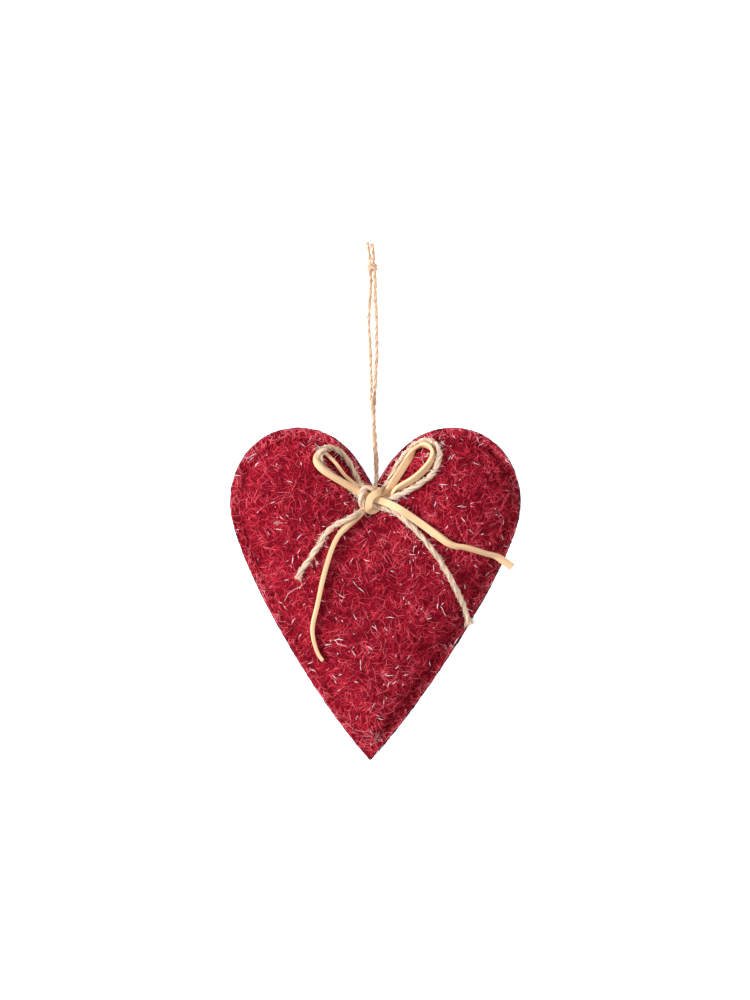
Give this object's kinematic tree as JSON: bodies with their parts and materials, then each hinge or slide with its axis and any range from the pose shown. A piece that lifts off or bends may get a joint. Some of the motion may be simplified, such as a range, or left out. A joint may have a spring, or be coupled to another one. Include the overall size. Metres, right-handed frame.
{
  "type": "padded heart ornament",
  "caption": "Padded felt heart with a hanging loop of jute twine and a bow of twine and flat lace tied at its notch.",
  "frame": {"origin": "under the middle of the heart's outline, on the surface that its back lies on", "axes": "+Z out of the heart's front, +Y from its tip towards its lobes and the hanging loop, +X to the right of its front"},
  "size_m": [0.12, 0.2153, 0.0245],
  "materials": {
    "felt": "matted crimson fibre felt with bits of silver tinsel",
    "thin_twine": "thin natural jute twine",
    "bow_twine": "pale natural jute twine, two plies, hairy",
    "lace": "flat tan lace, smooth and matt"
  },
  "bodies": {
    "root": {"heart_front": "felt", "heart_back": "felt", "hanging_twine": "thin_twine", "bow_twine": "bow_twine", "bow_lace": "lace"}
  },
  "joints": []
}
